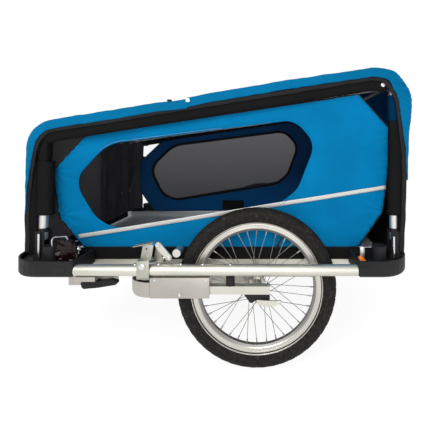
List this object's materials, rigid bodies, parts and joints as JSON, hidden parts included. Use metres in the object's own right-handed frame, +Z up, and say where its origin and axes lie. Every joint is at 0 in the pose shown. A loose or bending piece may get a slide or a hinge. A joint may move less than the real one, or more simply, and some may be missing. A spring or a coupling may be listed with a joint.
{
  "type": "bicycle pet trailer",
  "caption": "Two-wheeled dog trailer for a bicycle: aluminium base with sprung wheels and a folding fabric cabin with mesh windows.",
  "frame": {"origin": "ground level under the middle of the trailer", "axes": "+Z up, -X towards the towing bicycle (front), -Y the left-hand side"},
  "size_m": [1.2467, 0.836, 0.9516],
  "materials": {
    "bright_aluminium": "brushed, clear anodised",
    "frame_aluminium": "satin",
    "rim_aluminium": "polished",
    "steel": "zinc plated",
    "black_plastic": "fine grained",
    "elastomer": "matt",
    "tyre": "matt rubber",
    "cover_fabric": "coated plain weave",
    "black_fabric": "coarse plain weave",
    "floor_fabric": "ribbed",
    "window_mesh": "fine open mesh",
    "red_lens": "faceted, clear",
    "orange_lens": "faceted, clear"
  },
  "bodies": {
    "chassis": {"corner_front_left": "black_plastic", "corner_front_right": "black_plastic", "corner_rear_left": "black_plastic", "corner_rear_right": "black_plastic", "front_crossbar": "frame_aluminium", "rear_crossbar": "frame_aluminium", "outer_rail_left": "bright_aluminium", "outer_rail_right": "bright_aluminium", "inner_rail_left": "bright_aluminium", "inner_rail_right": "bright_aluminium", "cross_tube": "frame_aluminium", "swing_housing_left": "bright_aluminium", "swing_housing_right": "bright_aluminium", "rail_clamp_left": "frame_aluminium", "rail_clamp_right": "frame_aluminium", "drawbar_receiver": "frame_aluminium", "front_reflector_left": "red_lens", "front_reflector_right": "red_lens", "rear_reflector_left": "orange_lens", "rear_reflector_right": "orange_lens", "hoop_bracket_front_left": "frame_aluminium", "hoop_bracket_front_right": "frame_aluminium", "hoop_bracket_rear_left": "frame_aluminium", "hoop_bracket_rear_right": "frame_aluminium", "floor_tub": "black_fabric", "floor_mat": "floor_fabric", "side_panel_left": "cover_fabric", "side_panel_right": "cover_fabric", "window_mesh_left": "window_mesh", "window_mesh_right": "window_mesh", "frame_sleeve_left": "black_fabric", "frame_sleeve_right": "black_fabric", "front_wall": "black_fabric", "rear_wall": "black_fabric", "top_cover": "cover_fabric", "elastomer_left": "elastomer", "elastomer_right": "elastomer"},
    "rear_hoop": {"rear_hoop": "frame_aluminium"},
    "front_hoop": {"front_hoop": "frame_aluminium"},
    "rear_top_rails": {"top_rail_rear_left": "frame_aluminium", "top_rail_rear_right": "frame_aluminium"},
    "front_top_rails": {"top_rail_front_left": "frame_aluminium", "top_rail_front_right": "frame_aluminium"},
    "swing_arm_left": {"swing_arm_outer_left": "bright_aluminium", "swing_arm_inner_left": "frame_aluminium", "axle_left": "steel"},
    "wheel_left": {"tyre_left": "tyre", "rim_left": "rim_aluminium", "hub_and_spokes_left": "steel"},
    "axle_lever_left": {"axle_lever_left": "steel"},
    "toggle_left": {"toggle_link_left": "bright_aluminium"},
    "swing_arm_right": {"swing_arm_outer_right": "bright_aluminium", "swing_arm_inner_right": "frame_aluminium", "axle_right": "steel"},
    "wheel_right": {"tyre_right": "tyre", "rim_right": "rim_aluminium", "hub_and_spokes_right": "steel"},
    "axle_lever_right": {"axle_lever_right": "steel"},
    "toggle_right": {"toggle_link_right": "bright_aluminium"},
    "drawbar_lever": {"drawbar_lever": "black_plastic"}
  },
  "joints": [
    {"name": "cabin_fold", "type": "hinge", "parent": "chassis", "child": "rear_hoop", "pos_m": [0.58, 0, 0.418], "axis": [0, -1, 0], "range_deg": [0, 71], "deforming": ["top_cover", "frame_sleeve_left", "frame_sleeve_right", "side_panel_left", "side_panel_right", "window_mesh_left", "window_mesh_right", "front_wall", "rear_wall"]},
    {"name": "front_hoop_fold", "type": "hinge", "parent": "chassis", "child": "front_hoop", "pos_m": [-0.545, 0, 0.418], "axis": [0, 1, 0], "range_deg": [0, 85.5]},
    {"name": "front_rail_fold", "type": "hinge", "parent": "front_hoop", "child": "front_top_rails", "pos_m": [-0.535, 0, 0.748], "axis": [0, -1, 0], "range_deg": [0, 85.5]},
    {"name": "rear_rail_fold", "type": "hinge", "parent": "rear_hoop", "child": "rear_top_rails", "pos_m": [0.576, 0, 0.902], "axis": [0, 1, 0], "range_deg": [0, 71.3]},
    {"name": "suspension_left", "type": "hinge", "parent": "chassis", "child": "swing_arm_left", "pos_m": [-0.085, -0.345, 0.2725], "axis": [0, -1, 0], "range_deg": [-1, 3.5], "stiffness_Nm_per_rad": 600, "springref_deg": -1.6, "deforming": ["elastomer_left"]},
    {"name": "wheel_spin_left", "type": "hinge", "parent": "swing_arm_left", "child": "wheel_left", "pos_m": [0.141, -0.345, 0.254], "axis": [0, 1, 0], "continuous": true},
    {"name": "axle_lever_open_left", "type": "hinge", "parent": "swing_arm_left", "child": "axle_lever_left", "pos_m": [0.146, -0.4125, 0.238], "axis": [0, 0, -1], "range_deg": [0, 120]},
    {"name": "toggle_open_left", "type": "hinge", "parent": "chassis", "child": "toggle_left", "pos_m": [-0.127, -0.3848, 0.3616], "axis": [0, 1, 0], "range_deg": [0, 100]},
    {"name": "suspension_right", "type": "hinge", "parent": "chassis", "child": "swing_arm_right", "pos_m": [-0.085, 0.345, 0.2725], "axis": [0, -1, 0], "range_deg": [-1, 3.5], "stiffness_Nm_per_rad": 600, "springref_deg": -1.6, "deforming": ["elastomer_right"]},
    {"name": "wheel_spin_right", "type": "hinge", "parent": "swing_arm_right", "child": "wheel_right", "pos_m": [0.141, 0.345, 0.254], "axis": [0, 1, 0], "continuous": true},
    {"name": "axle_lever_open_right", "type": "hinge", "parent": "swing_arm_right", "child": "axle_lever_right", "pos_m": [0.146, 0.4125, 0.238], "axis": [0, 0, 1], "range_deg": [0, 120]},
    {"name": "toggle_open_right", "type": "hinge", "parent": "chassis", "child": "toggle_right", "pos_m": [-0.127, 0.3848, 0.3616], "axis": [0, 1, 0], "range_deg": [0, 100]},
    {"name": "drawbar_lever_open", "type": "hinge", "parent": "chassis", "child": "drawbar_lever", "pos_m": [-0.392, -0.3843, 0.2855], "axis": [0, 1, 0], "range_deg": [0, 95]}
  ],
  "couplings": [
    {"joint": "front_hoop_fold", "follows": "cabin_fold", "ratio": 1.2},
    {"joint": "front_rail_fold", "follows": "cabin_fold", "ratio": 1.2},
    {"joint": "rear_rail_fold", "follows": "cabin_fold", "ratio": 1}
  ]
}
